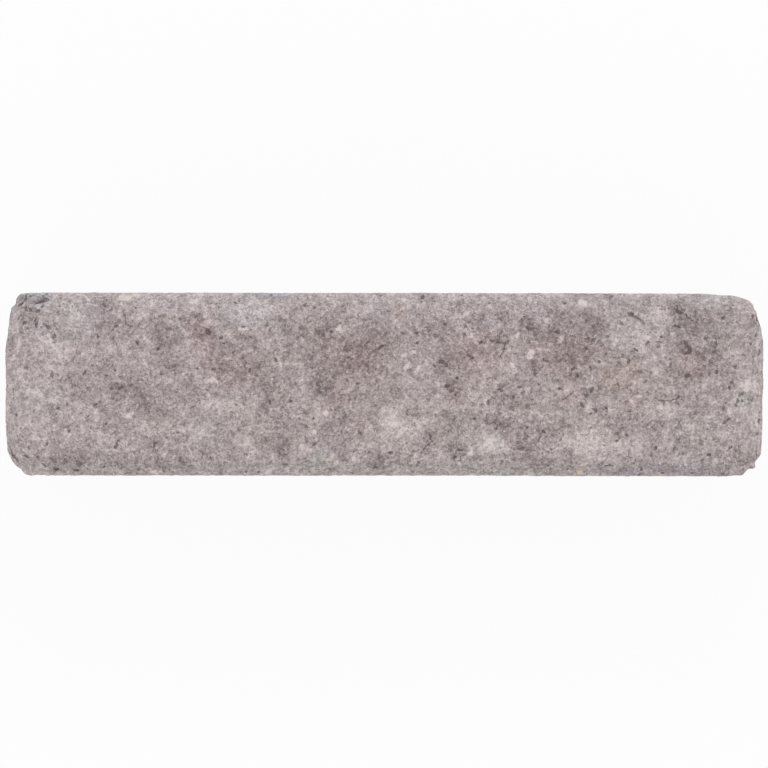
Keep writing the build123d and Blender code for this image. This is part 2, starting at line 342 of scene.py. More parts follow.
# %% The pits and clefts that show
SEEN_PITS = [
    Pit(26.5, 309.5, 5.5, 2.8, -55),
    Pit(31.5, 310.5, 4.5, 2.8, -45),
    Pit(38.3, 311.2, 4.5, 3, 20),
    Pit(43.2, 307.5, 4.5, 2.6, 60),
    Pit(44.8, 300.2, 7.5, 4.4, 12, 1.2),
    Pit(38, 302.3, 5, 2.8, 15),
    Pit(20, 304.8, 4.5, 4, 40, 0.8),
    Pit(26, 298.5, 6, 2.2, 70, 0.7),
    Pit(51.5, 305.2, 4, 2.4, -30, 0.8),
    Pit(18.6, 318.5, 5, 2.6, 70, 0.8),
    Pit(29, 329.8, 4.5, 2.6, -20, 0.8),
    Pit(36.3, 321.2, 4.5, 2.6, 75, 0.9),
    Pit(26, 324, 5, 3, 40),
    Pit(37.5, 325.5, 5, 3, 80),
    Pit(49.5, 328, 4, 3, -45),
    Pit(55.5, 336, 6, 3.5, 45),
    Pit(98.5, 337.5, 5, 3, 80, 0.8),
    Pit(104.5, 305.5, 5, 3.5, -40),
    Pit(112, 310.5, 5, 3.5, 0, 0.8),
    Pit(117, 327, 3.5, 2.5, 20),
    Pit(26.5, 368, 5, 3, 0),
    Pit(53, 376, 6, 3.5, 85),
    Pit(86, 373.5, 5, 3.5, 45),
    Pit(93, 366, 3, 2.5, 0, 0.8),
    Pit(115.5, 370.5, 3.5, 2.5, -30, 0.8),
    Pit(106.5, 376, 3, 2.5, 0, 0.8),
    Pit(17, 415.5, 3.5, 3, 0),
    Pit(58, 408, 3.5, 3, 0, 0.7),
    Pit(96, 405.5, 4, 2.5, 40),
    Pit(121.5, 388.2, 6, 3.5, 35),
    Pit(92, 427, 4, 2.5, 85, 0.8),
    Pit(106.5, 424.5, 3, 2.5, 0, 0.8),
    Pit(48.5, 444.5, 4.5, 2.5, 85, 0.9),
    Pit(27.5, 457.5, 6, 3, -35),
    Pit(45.5, 466.5, 6, 3.5, -40),
    Pit(57.5, 470.5, 6, 3, 0),
    Pit(76, 471.5, 7, 2.5, 0, 0.9),
    Pit(170, 308, 3.5, 2.5, 0, 0.9),
    Pit(236, 302.5, 4, 2.5, -35, 0.9),
    Pit(180, 320, 4, 2.5, 0),
    Pit(209, 333.5, 5.5, 4, -45),
    Pit(222, 337.5, 4.5, 3, 40),
    Pit(158.5, 348, 4.5, 3, 85),
    Pit(137.5, 343.5, 4.5, 2.5, -45, 0.65),
    Pit(163, 374, 4, 3, 0, 0.9),
    Pit(197.5, 368, 4, 2.5, -40),
    Pit(219.5, 379, 4, 3, 0),
    Pit(215, 369, 4, 2.5, 0, 0.8),
    Pit(250, 370.5, 4.5, 3, 85),
    Pit(256.5, 376, 3.5, 3, 0),
    Pit(233.5, 352.5, 3.5, 2.5, 70, 0.8),
    Pit(184.5, 424, 5, 2.5, 85, 0.9),
    Pit(232, 412, 5, 3, 0, 0.7),
    Pit(156, 444, 5, 3, 85),
    Pit(135, 453, 7, 3, -35, 0.8),
    Pit(211, 458, 4, 2.5, -40, 0.8),
    Pit(247, 455, 6, 2.5, -30, 0.9),
    Pit(270.5, 294.5, 3.5, 2.5, 0, 0.8),
    Pit(304.5, 306, 3.5, 2.5, -35, 0.8),
    Pit(266, 326, 4, 3.5, 0),
    Pit(223.5, 344, 3, 2.5, 0, 0.7),
    Pit(331, 332, 3.5, 3, 0),
    Pit(323, 335, 4, 3, -40, 0.9),
    Pit(381, 347, 7, 3.5, 40),
    Pit(276, 360, 4.5, 3, 85),
    Pit(358, 384, 3.5, 3, 0, 0.9),
    Pit(270.5, 402.5, 4, 3, 80),
    Pit(291.5, 402, 3.5, 3, 0),
    Pit(315, 444, 6, 3, 40),
    Pit(286.5, 464.5, 3.5, 3, 0),
    Pit(360, 432, 4, 2.5, -40, 0.8),
    Pit(376, 468, 4, 3, 0, 0.8),
    Pit(422, 297, 5, 3.5, 75),
    Pit(402, 333, 3.5, 3, 20, 0.8),
    Pit(417, 333, 3.5, 2.5, 0),
    Pit(445, 324.5, 4, 3, -40),
    Pit(418, 342, 5, 2.5, 40, 0.8),
    Pit(441, 361.5, 6, 4, -30),
    Pit(446, 365, 4.5, 3.5, -60),
    Pit(434, 366, 5, 3, -60, 0.8),
    Pit(469, 355.5, 4.5, 3, 0),
    Pit(472.5, 358, 3.5, 3, 0),
    Pit(464, 335, 5.5, 3, 85),
    Pit(465, 327, 4, 3, 50),
    Pit(480, 342, 4.5, 4, 0, 0.8),
    Pit(457, 378, 3.5, 3, 0),
    Pit(447.5, 386, 5, 3.5, 0, 0.9),
    Pit(455, 394, 5, 2.5, 30),
    Pit(500.5, 389.5, 5, 4, -40),
    Pit(519.5, 387.5, 5, 2.5, -25),
    Pit(522.5, 391.5, 4, 3.5, 60),
    Pit(513.5, 396.5, 4, 2.5, -30),
    Pit(487, 403, 5, 3.5, 80),
    Pit(475, 418.5, 4.5, 3, 35),
    Pit(496, 428.5, 4, 3, 0),
    Pit(391, 452, 4.5, 3, 0),
    Pit(418, 464.5, 6, 3, 75),
    Pit(454, 457.5, 4.5, 3.5, 10),
    Pit(459.5, 450.5, 7, 2.5, 0, 0.9),
    Pit(528, 328, 5.5, 4, -30),
    Pit(555.5, 332.3, 5, 3, -20),
    Pit(593, 340, 4.5, 4, -40),
    Pit(585, 348, 5, 3, -50),
    Pit(545, 360, 6, 3.5, -30),
    Pit(573, 368, 5, 3, 35),
    Pit(577, 376, 4, 3.5, 80),
    Pit(590.5, 368, 5, 3, -40),
    Pit(598.5, 361.5, 3.5, 2.5, -20),
    Pit(606.5, 336.5, 3.5, 3.5, 0, 0.9),
    Pit(621, 323.5, 5, 3, -50),
    Pit(630, 314, 6, 4.5, -20),
    Pit(635, 349, 5, 3, -35),
    Pit(628.5, 361, 6, 3, 80),
    Pit(559.5, 389, 4.5, 2.5, 0),
    Pit(592, 390, 5.5, 3.5, 65),
    Pit(585, 395, 5, 3, -45),
    Pit(581.5, 405.5, 6, 3.5, -60, 0.9),
    Pit(595, 409.5, 6, 4, -20),
    Pit(590.5, 413, 4, 2.5, 10),
    Pit(543, 431.5, 5, 3, -45),
    Pit(616.5, 433, 4, 3.5, 0),
    Pit(625.5, 434.5, 4.5, 3, -45),
    Pit(616, 440, 4, 3, 0, 0.8),
    Pit(629, 410.5, 4.5, 2.5, 10),
    Pit(611, 465.5, 5, 2.5, -25),
    Pit(590.5, 427, 3.5, 3, 0, 0.8),
    Pit(678, 311.5, 6, 4, -35),
    Pit(676, 306.5, 4, 3, 80),
    Pit(676, 326.3, 6.5, 3, -10),
    Pit(688, 348, 6, 3.6, -60, 1.15),
    Pit(687, 352.5, 6.5, 2.6, 8, 1.1),
    Pit(685, 343.5, 6, 2.6, -70, 1.1),
    Pit(660, 336, 4, 2.5, 20),
    Pit(646, 343, 5, 3, 40),
    Pit(657.5, 346.5, 3.5, 3, 60),
    Pit(704.5, 338, 5, 4, 50),
    Pit(723, 317, 5, 3, 60),
    Pit(753, 315.5, 4.5, 3, 85),
    Pit(756, 335, 3.5, 3, 0),
    Pit(751, 343.3, 4, 3, 0),
    Pit(760, 351.5, 5, 3, 85),
    Pit(754, 355.5, 7, 2.5, 35, 0.9),
    Pit(687.5, 375, 7, 3, 25),
    Pit(716, 372, 4.5, 3, 70),
    Pit(734, 366.5, 4.5, 3, 70),
    Pit(731, 382, 5, 4, 30, 0.8),
    Pit(728.5, 387, 5, 2.5, 85),
    Pit(663, 403, 4, 2.5, 75),
    Pit(678, 396.5, 4.5, 2.5, 40),
    Pit(723, 407, 5, 2.5, 85),
    Pit(735.5, 404, 4.5, 2.5, 80),
    Pit(655.5, 447, 4.5, 3, 80),
    Pit(682.5, 453.5, 4, 2.5, 35, 0.9),
    Pit(709, 454.5, 4.5, 3.5, 0),
    Pit(760, 420, 5, 3, 60, 0.9),
    Pit(758, 433.5, 5, 3, 20),
    Pit(641.5, 469.5, 4.5, 2.5, 80),
    Pit(662.5, 473, 3.5, 2.5, 0),
    Pit(692, 473, 3.5, 2.5, 0),
]
SEEN_CLEFTS = [
    Cleft(((125, 315), (126, 322), (128, 326), (133, 327.5)), 2.8),
    Cleft(((44, 324.5), (47, 326), (51, 329)), 2.6, 0.9),
    Cleft(((27, 294.5), (25, 299), (22, 304)), 2.6, 0.7),
    Cleft(((13.4, 390), (13.6, 400)), 2.8),
    Cleft(((118, 427), (117.5, 431), (112, 435)), 2.8),
    Cleft(((118.5, 440), (118, 445), (116, 448)), 3.2, 0.8),
    Cleft(((11, 453.5), (17.5, 462)), 3.6, 0.9),
    Cleft(((241, 360), (244, 358), (246, 362), (245.5, 367)), 2.6),
    Cleft(((494, 315.5), (498, 315.5), (500, 320), (504, 322)), 3.2),
    Cleft(((490, 339.5), (497, 342.5), (505, 343.5), (504, 350), (499.5, 358)), 3),
    Cleft(((486, 381), (488, 378.5), (494, 378)), 2.4),
    Cleft(((430, 436), (432, 440.5), (427, 445), (424, 449)), 3.4),
    Cleft(((511, 448), (517, 449.3), (524, 447)), 3),
    Cleft(((533, 361), (532.5, 367), (533, 371), (535, 376)), 3.2),
    Cleft(((561.5, 399), (566, 397.5), (570, 394.5), (573.5, 390.5)), 2.4),
    Cleft(((582.5, 434), (584, 436), (587.5, 433)), 2.6),
    Cleft(((601, 468), (605, 465.5), (611, 465)), 2.6),
    Cleft(((629.5, 312.5), (636, 317.5), (644, 323)), 3.2, 0.75),
    Cleft(((683, 313), (687, 317), (691, 320)), 3.2),
    Cleft(((453.5, 461), (460.5, 460.5), (460, 456)), 2),
    Cleft(((722, 423.5), (728.5, 418)), 2.2),
    Cleft(((726, 450), (731, 446.3)), 2.6),
    Cleft(((658, 400), (668, 400.3), (675, 399), (678.5, 396.5)), 2.2),
    Cleft(((616, 382), (618.5, 386), (619, 390)), 1.8),
    Cleft(((365, 346), (367, 343), (370, 340)), 2.2),
    Cleft(((306, 431), (308, 428), (306.5, 425)), 2.6),
    Cleft(((180, 432), (172, 434)), 2.2),
]
for pit in SEEN_PITS:
    slant = math.radians(pit.slant)
    press(
        surface_place(across(pit.x), upward(pit.y)),
        rim=pit.long * STEP * 0.8,
        depth=pit.wide * STEP * 0.34,
        dark=pit.dark,
        narrow=(-math.sin(slant), math.cos(slant), 0.0),
        squeeze=1.2 * pit.long / pit.wide,
    )
for cleft in SEEN_CLEFTS:
    for start, end in zip(cleft.route, cleft.route[1:]):
        beads = max(2, round(math.dist(start, end) / (cleft.wide * 0.4)))
        for share in np.linspace(0, 1, beads):
            x = across(start[0] + (end[0] - start[0]) * share)
            y = upward(start[1] + (end[1] - start[1]) * share)
            press(surface_place(x, y), cleft.wide * STEP * 0.7, cleft.wide * STEP * 0.12, dark=cleft.dark)
print("seen pits and clefts:", len(SEEN_PITS), "and", len(SEEN_CLEFTS))

# %% [markdown]
# ## Stones that stand out
# Where the skin of cement has gone, a few stones and grains of sand show. Each is a low dome, and
# some have a narrow broken gap round them. They are placed like the pits, as an ellipse with a
# slant, and each keeps its own brightness for the material.


# %% The stones that show
class Stone(NamedTuple):
    """A stone in the wear face: its middle and half widths in the picture, its slant in degrees
    from across, how much brighter it is than the concrete, and how open the gap round it is, which also
    sets the painted shade in the gap."""

    x: float
    y: float
    long: float
    wide: float
    slant: float
    tone: float
    gap: float = 0.0


SEEN_STONES = [
    Stone(125, 298, 8, 2.8, 2, 32),
    Stone(743.5, 399.5, 7, 6.5, 0, -7, 0.7),
    Stone(308, 458.5, 6, 4.5, -20, -6, 0.3),
    Stone(338.5, 328, 3, 2.8, 0, 29),
    Stone(325.6, 413.6, 2.8, 2.4, 0, 42),
    Stone(354, 458.5, 2.2, 2.0, 0, 28),
    Stone(302, 446, 2.8, 2.2, -30, 33),
    Stone(315, 432.5, 2.6, 2.0, 0, 25),
    Stone(530.5, 354.5, 2.6, 5.0, -15, 44),
    Stone(582, 303, 5.0, 3.2, -12, 24),
    Stone(560, 339.5, 3.0, 2.8, 0, 36),
    Stone(657, 369.5, 4.5, 2.8, 0, 7),
    Stone(466, 313.5, 4.0, 1.8, 25, 20),
    Stone(412.5, 352, 2.8, 1.8, 20, 33),
    Stone(404, 355.5, 3.2, 2.2, 30, 29),
    Stone(406.5, 367.5, 1.8, 5.0, -30, 32),
    Stone(418, 369, 1.9, 5.4, -38, 31),
    Stone(404, 299.5, 2.2, 2.8, 0, 34),
    Stone(470.5, 337, 1.6, 2.4, -30, 31),
    Stone(458, 459.5, 2.6, 1.8, 0, 4),
    Stone(470, 454, 3.0, 2.4, 20, 28),
    Stone(433.5, 428.5, 1.2, 2.4, 0, 14),
    Stone(485, 402, 1.6, 4.4, 10, 20),
    Stone(637.5, 395, 3.4, 1.4, -5, 24),
    Stone(585, 409, 3.0, 2.0, 30, 3),
    Stone(517.5, 335, 1.6, 3.4, -20, 25),
    Stone(195, 302, 5.4, 2.0, 10, 14),
    Stone(243, 329, 4.4, 1.8, 0, 30),
    Stone(236.5, 341, 1.6, 8.0, -8, 3),
    Stone(211, 380, 3.4, 2.4, 0, 14),
    Stone(130, 416, 4.8, 1.9, 30, 34),
    Stone(154, 472.5, 3.4, 1.8, 0, 30),
    Stone(19.6, 342, 1.8, 3.4, 0, 28),
    Stone(757, 344, 1.6, 3.6, 0, 22),
    Stone(756, 419, 1.8, 7.0, 8, 26),
    Stone(753.5, 464.5, 2.4, 2.2, 0, 10),
    Stone(748, 384, 4.0, 4.6, 0, 12),
    Stone(580, 472, 2.6, 2.4, 0, 18),
    Stone(20, 457, 3.4, 2.0, -30, 26),
    Stone(31, 304, 4.6, 3.4, 10, -3, 0.5),
    Stone(36, 297.5, 5.0, 3.0, 0, 2, 0.3),
    Stone(21.5, 297.5, 3.4, 3.0, 20, 2, 0.3),
    Stone(38, 306.8, 2.6, 2.4, 0, 14),
    Stone(34, 315, 4.4, 2.8, 0, -3, 0.3),
]
paleness = np.zeros(count)


def set_stone(stone, lift):
    """Raises a dome, opens a broken gap round it with painted shade in it, and notes how bright its
    points are.
    """
    centre = surface_place(across(stone.x), upward(stone.y))
    found = pit_tree.find_range(centre, (max(stone.long, stone.wide) + 3) * STEP + 0.6)
    inside = np.array([spot[1] for spot in found])
    turn = math.radians(stone.slant)
    right, back = (points[inside] - centre)[:, :2].T
    along = (right * math.cos(turn) + back * math.sin(turn)) / (stone.long * STEP)
    aside = (back * math.cos(turn) - right * math.sin(turn)) / (stone.wide * STEP)
    distance = np.hypot(along, aside) + 0.22 * noise(points[inside], 1.1, 12)
    dome = 1 - ramp(distance, 0.3, 1.05)
    ring = ramp(distance, 0.75, 1.05) * (1 - ramp(distance, 1.15, 1.6)) * stone.gap
    ring *= ramp(noise(points[inside], 1.7, 18), -0.25, 0.3)
    sink[inside] += ring * 0.2 - dome * lift
    # Painted shade in the broken gap round the stone.
    np.maximum.at(hollow_shade, inside, ring)
    paleness[inside] += (1 - ramp(distance, 0.75, 1.25)) * stone.tone / 30


for stone in SEEN_STONES:
    set_stone(stone, lift=0.1)
print("seen stones:", len(SEEN_STONES))

# %% The pits strewn at random
draw = np.random.default_rng(61)
STREWN_PITS = 3000


def drawn(many, chance):
    """This many points of the skin, drawn by their chances."""
    return draw.choice(count, many, p=chance / chance.sum())


def level_way(index):
    """A random direction along the surface at this point."""
    level = np.cross(outward[index], draw.normal(size=3))
    return level / np.linalg.norm(level)


# The strewn pits note painted shade as well.
for index in drawn(STREWN_PITS, 0.22 * on_wear_face + 1.0 * on_bed + 0.9 * on_sides + 0.6 * near_edge):
    rim = 0.32 + 0.55 * draw.random() ** 3 * (1 + 0.6 * (1 - on_wear_face[index]))
    narrow = level_way(index)
    depth = rim * (0.2 + 0.16 * draw.random())
    press(points[index], rim, depth, 0.72, narrow, squeeze=1 + 1.2 * draw.random())
print("strewn pits:", STREWN_PITS)

# %% [markdown]
# ## Voids and broken places
# The upright faces and the bed of a pressed block are more open than its wear face. Where a bigger
# grain stuck to the mould, it left a void of a few millimetres, and where another block struck an
# edge, a flake came off: a shallow broken place with a sharp rim, a rough floor and paler concrete.
# None of these shows in the photograph, so they are strewn well below the wear face.


# %% Voids of the upright faces and the bed, and flakes off their edges
def break_away(centre, reach, depth):
    """Takes off a flake this wide and deep, in millimetres."""
    inside = np.array([spot[1] for spot in pit_tree.find_range(centre, reach * 1.3)])
    away = np.linalg.norm(points[inside] - centre, axis=1) / reach
    floor = 1 - ramp(away + 0.3 * noise(points[inside], 3.0, 19), 0.62, 0.9)
    sink[inside] += floor * depth * (1 + 0.5 * noise(points[inside], 1.6, 35))
    paleness[inside] += floor * 0.12


VOIDS = 230
FLAKES = 40
out_of_sight = 1 - ramp(points[:, 2], HEIGHT - 12, HEIGHT - 7)
# Each void also notes painted shade, which the material lays in its deepest part.
for index in drawn(VOIDS, (on_sides + on_bed) * out_of_sight):
    rim = 0.8 + 1.4 * draw.random() ** 2
    narrow = level_way(index)
    press(points[index], rim, 0.46 * rim, 0.8, narrow, squeeze=1 + draw.random())
for index in drawn(FLAKES, near_edge * out_of_sight):
    reach = 2.5 + 5.0 * draw.random() ** 2
    break_away(points[index], reach, depth=0.35 + 0.35 * draw.random())
print("voids:", VOIDS, "and flakes:", FLAKES)

# %% [markdown]
# ## Move the points
# Every point now moves inward along its own outward direction. The bed must still lie flat on the
# ground, so no point goes below it. Then the Decimate modifier removes points where the surface says
# little and keeps them in the pits and along the edges. It runs twice, each time held to one vertex
# group, so that the wear face keeps more points for its size than the other faces do.

# %% Press the relief into the skin and thin it out
WEAR_FACE_TRIANGLES = 108000
OTHER_TRIANGLES = 88000


def note(name, values):
    """Keeps one number per point on the mesh, where a material can read it by name."""
    skin.attributes.new(name, "FLOAT", "POINT").data.foreach_set("value", values.astype(np.float32))


moved = points - outward * sink[:, None]
moved[:, 2] = np.maximum(moved[:, 2], 0)
skin.vertices.foreach_set("co", (moved / 1000).ravel())
skin.update()
note("hollow_shade", hollow_shade)
note("paleness", paleness)
before = 2 * len(skin.polygons)
on_top = 2 * int((on_wear_face > 0.5).sum())
after_others = min(before, on_top + OTHER_TRIANGLES)
for name, chosen, ratio in (
    ("other_faces", on_wear_face <= 0.5, after_others / before),
    ("wear_face", on_wear_face > 0.5, (WEAR_FACE_TRIANGLES + OTHER_TRIANGLES) / after_others),
):
    paver.vertex_groups.new(name=name).add(np.flatnonzero(chosen).tolist(), 1.0, "REPLACE")
    thin = paver.modifiers.new(name, "DECIMATE")
    thin.vertex_group = name
    thin.ratio = min(1, ratio)
skin = settled(paver)
paver.modifiers.clear()
paver.vertex_groups.clear()
paver.data = skin
skin.shade_smooth()
triangle_count = sum(face.loop_total - 2 for face in skin.polygons)
on_wear_count = sum(face.loop_total - 2 for face in skin.polygons if face.normal.z > 0.9)
print("the finished skin has", triangle_count, "triangles,", on_wear_count, "of them on the wear face")

# %% [markdown]
# ## Stains
# The pigment and the cement are mixed unevenly, and lime blooms on the skin, so the face is clouded
# with darker mauve patches and paler ones. A painted picture could hold them, but a few dozen soft
# ellipses, pulled out of shape by noise, are enough. Each is written in steps of brightness, darker
# or paler than the concrete round it. Three long, narrow strips near the two ends are painted light
# instead: shade and highlights on the rounded end edges.


# %% The stains of the wear face, and painted light near its ends
class Cloud(NamedTuple):
    """A cloud on the wear face: its middle and half widths in the picture, and its brightness."""

    x: float
    y: float
    long: float
    wide: float
    tone: float


DARK_STAINS_AND_SHADE = [
    Cloud(36, 303, 13, 8, -14),
    Cloud(27, 325, 9, 12, -8),
    Cloud(107, 305, 8, 6, -8),
    Cloud(105, 335, 22, 16, -4),
    Cloud(165, 340, 11, 20, -14),
    Cloud(95, 390, 30, 20, -7),
    Cloud(125, 388, 15, 13, -11),
    Cloud(152, 405, 18, 20, -9),
    Cloud(176, 368, 9, 7, -10),
    Cloud(190, 390, 10, 12, -5),
    Cloud(70, 461, 22, 9, -17),
    Cloud(150, 464, 80, 6, -8),
    Cloud(155, 443, 8, 6, -8),
    Cloud(207, 453, 8, 8, -9),
    Cloud(195, 321, 12, 9, -15),
    Cloud(206, 334, 8, 7, -20),
    Cloud(220, 350, 14, 12, -9),
    Cloud(213, 367, 13, 8, -11),
    Cloud(240, 373, 20, 14, -6),
    Cloud(250, 344, 10, 10, -10),
    Cloud(252, 362, 12, 8, -13),
    Cloud(300, 335, 14, 8, -8),
    Cloud(327, 333, 8, 7, -13),
    Cloud(350, 350, 32, 15, -9),
    Cloud(345, 350, 58, 42, -6),
    Cloud(377, 337, 14, 9, -10),
    Cloud(360, 370, 20, 12, -8),
    Cloud(324, 382, 13, 15, -16),
    Cloud(340, 406, 16, 10, -6),
    Cloud(357, 429, 8, 10, -9),
    Cloud(338, 428, 14, 16, -7),
    Cloud(272, 400, 14, 22, -8),
    Cloud(285, 442, 12, 13, -11),
    Cloud(385, 463, 26, 7, -13),
    Cloud(402, 325, 10, 8, -6),
    Cloud(438, 327, 14, 10, -8),
    Cloud(445, 361, 10, 9, -15),
    Cloud(455, 386, 9, 8, -19),
    Cloud(467, 354, 14, 13, -11),
    Cloud(495, 342, 12, 10, -12),
    Cloud(502, 316, 8, 7, -11),
    Cloud(530, 326, 12, 9, -12),
    Cloud(560, 330, 12, 10, -10),
    Cloud(570, 352, 20, 13, -10),
    Cloud(565, 340, 52, 34, -6),
    Cloud(587, 325, 9, 16, -10),
    Cloud(535, 367, 8, 7, -10),
    Cloud(570, 373, 8, 8, -10),
    Cloud(505, 395, 12, 16, -8),
    Cloud(497, 421, 14, 8, -16),
    Cloud(430, 440, 8, 14, -14),
    Cloud(455, 418, 12, 9, -8),
    Cloud(458, 450, 8, 9, -13),
    Cloud(522, 450, 11, 10, -13),
    Cloud(545, 432, 9, 9, -7),
    Cloud(550, 463, 40, 6, -7),
    Cloud(586, 392, 9, 7, -10),
    Cloud(625, 378, 34, 12, -2),
    Cloud(619, 427, 8, 10, -10),
    Cloud(632, 408, 9, 7, -6),
    Cloud(680, 308, 9, 8, -17),
    Cloud(692, 326, 12, 10, -11),
    Cloud(693, 345, 24, 48, -6),
    Cloud(688, 348, 9, 9, -12),
    Cloud(712, 352, 10, 16, -10),
    Cloud(690, 376, 12, 12, -9),
    Cloud(748, 340, 8, 18, -7),
    Cloud(708, 452, 12, 10, -7),
    Cloud(742, 456, 16, 12, -8),
    Cloud(612, 469, 26, 5, -12),
    # Painted shade: a dark strip near the left end, where its rounded edge turns from the light.
    Cloud(11.5, 390, 2.4, 60, -6),
    Cloud(690, 470, 50, 5, -7),
]
PALE_STAINS_AND_HIGHLIGHTS = [
    Cloud(45, 385, 70, 90, 4),
    # Painted highlight: a pale strip near the left end, on its rounded edge.
    Cloud(19, 378, 3.0, 55, 8),
    Cloud(400, 467, 330, 8, 2),
    Cloud(400, 308, 330, 8, 4),
    Cloud(740, 300, 30, 10, 6),
    # Painted highlight: a pale strip near the right end, on its rounded edge.
    Cloud(745, 395, 12, 60, 7),
    Cloud(75, 313, 9, 7, 19),
    Cloud(44, 344, 10, 10, 15),
    Cloud(60, 352, 12, 12, 9),
    Cloud(140, 315, 11, 7, 11),
    Cloud(40, 397, 12, 7, 8),
    Cloud(75, 414, 11, 8, 5),
    Cloud(132, 417, 7, 6, 8),
    Cloud(85, 436, 30, 8, 6),
    Cloud(215, 404, 18, 13, 11),
    Cloud(192, 432, 14, 9, 10),
    Cloud(253, 311, 14, 15, 11),
    Cloud(197, 304, 14, 6, 12),
    Cloud(155, 304, 26, 8, 6),
    Cloud(185, 357, 9, 12, 4),
    Cloud(340, 328, 8, 6, 6),
    Cloud(345, 386, 9, 7, 5),
    Cloud(251, 450, 8, 8, 15),
    Cloud(268, 426, 8, 6, 6),
    Cloud(395, 424, 20, 14, 19),
    Cloud(372, 443, 10, 9, 8),
    Cloud(375, 311, 12, 8, 6),
    Cloud(418, 306, 12, 6, 9),
    Cloud(443, 305, 10, 6, 11),
    Cloud(505, 366, 9, 9, 7),
    Cloud(515, 345, 8, 14, 4),
    Cloud(550, 391, 7, 12, 7),
    Cloud(492, 445, 14, 8, 24),
    Cloud(590, 440, 23, 19, 15),
    Cloud(640, 333, 30, 22, 6),
    Cloud(642, 336, 7, 6, 13),
    Cloud(661, 316, 9, 8, 12),
    Cloud(660, 408, 16, 8, 8),
    Cloud(665, 447, 9, 6, 7),
    Cloud(618, 452, 14, 8, 6),
    Cloud(726, 336, 9, 11, 5),
    Cloud(702, 303, 14, 5, 7),
    Cloud(748, 386, 8, 9, 22),
    Cloud(745, 402, 8, 7, 10),
    Cloud(715, 405, 20, 10, 4),
]
print("stains:", len(DARK_STAINS_AND_SHADE), "dark and", len(PALE_STAINS_AND_HIGHLIGHTS), "pale")


# %% Lay the stains and the strips of painted light on the skin
def cloud_of(mark, pull, inner, outer):
    """1 in the middle of a mark and 0 outside it, with a rim that noise pulls out of shape."""
    right = (places[:, 0] + pull * wander[:, 0] - across(mark.x)) / (mark.long * STEP)
    back = (places[:, 1] + pull * wander[:, 1] - upward(mark.y)) / (mark.wide * STEP)
    return 1 - ramp(np.hypot(right, back), inner, outer)


count = len(skin.vertices)
places = rows_of(skin.vertices, "co") * 1000
over_wear_face = ramp(places[:, 2], HEIGHT - 9, HEIGHT - 2)
wander = np.stack([noise(places, 5, 20), noise(places, 5, 21)], 1) * 1.1
wander += np.stack([noise(places, 1.9, 27), noise(places, 1.9, 28)], 1) * 0.6
tone = np.zeros(count)
for cloud in DARK_STAINS_AND_SHADE + PALE_STAINS_AND_HIGHLIGHTS:
    tone += cloud_of(cloud, 1.0, 0.35, 1.55) * cloud.tone

# %% [markdown]
# ## The faces out of sight, and the paler edges with painted light
# The photograph doesn't show the other five faces, so random clouds of the same size and strength
# stand in for their stains. On all twelve edges the drum has rubbed the darker skin off, so they
# come out a little paler, and this paler band is also painted light, stronger towards the back, where
# the lamp behind falls. A painted highlight runs along the rims of the wear face too, brightest at
# its two ends and along its back edge.

# %% Clouds for the other faces, and paler edges with painted light
RUBBED_AND_LIT_PALER = 8
clouds = 9 * noise(places, 17, 22) + 9 * noise(places, 8, 23) + 5 * noise(places, 4, 24) - 2
tone = tone * over_wear_face + clouds * (1 - over_wear_face)
# Paler edges: partly rubbed wear, partly painted light that makes them paler towards the back, where the
# lamp behind falls.
rubbed_and_lit = 1 - ramp(depths_of(places)[:, 1] + 0.8 * noise(places, 3.5, 31), 0.7, 2.9)
tone += RUBBED_AND_LIT_PALER * rubbed_and_lit * (0.6 + 0.4 * ramp(places[:, 1], -8, 8))
from_end = LENGTH / 2 - np.abs(places[:, 0]) + 0.5 * noise(places, 3.5, 32)
from_side = WIDTH / 2 - np.abs(places[:, 1]) + 0.3 * noise(places, 3.5, 33)
back_half = ramp(places[:, 1], -1, 1)
# Painted highlight on the rims of the wear face: bright bands at the two ends, where the rounded edges
# would fall into shade, and along the long edges, wider and brighter along the back one, which faces the
# lamp behind.
painted_rim_light = 4 * (1 - ramp(from_end, 1.0, 6.0)) + 10 * (1 - ramp(from_end, 0.5, 1.9))
painted_rim_light += (6 + 6 * back_half) * (1 - ramp(from_side, 0.2, 0.9 + 0.7 * back_half))
tone += over_wear_face * painted_rim_light
cloud_red = 3.0 * noise(places, 21, 25) + 1.2 * noise(places, 9, 26)
cloud_blue = 2.2 * noise(places, 26, 29) + 1.0 * noise(places, 11, 30)
note("tone", tone / 100)
print("tones from", round(float(tone.min())), "to", round(float(tone.max())))

# %% [markdown]
# ## Tints
# Pigment and lime also shift the hue: rust where the red pigment lies thick, mauve and slate where
# it is thin, moss-grey elsewhere, and a few stronger tints along the rubbed edges. These clouds are
# kept apart from the brightness, as steps of red and steps of blue against green.


# %% The tints of the wear face
class Tint(NamedTuple):
    """A cloud of tint: its middle and half widths in the picture, its red and its blue."""

    x: float
    y: float
    long: float
    wide: float
    red: float
    blue: float


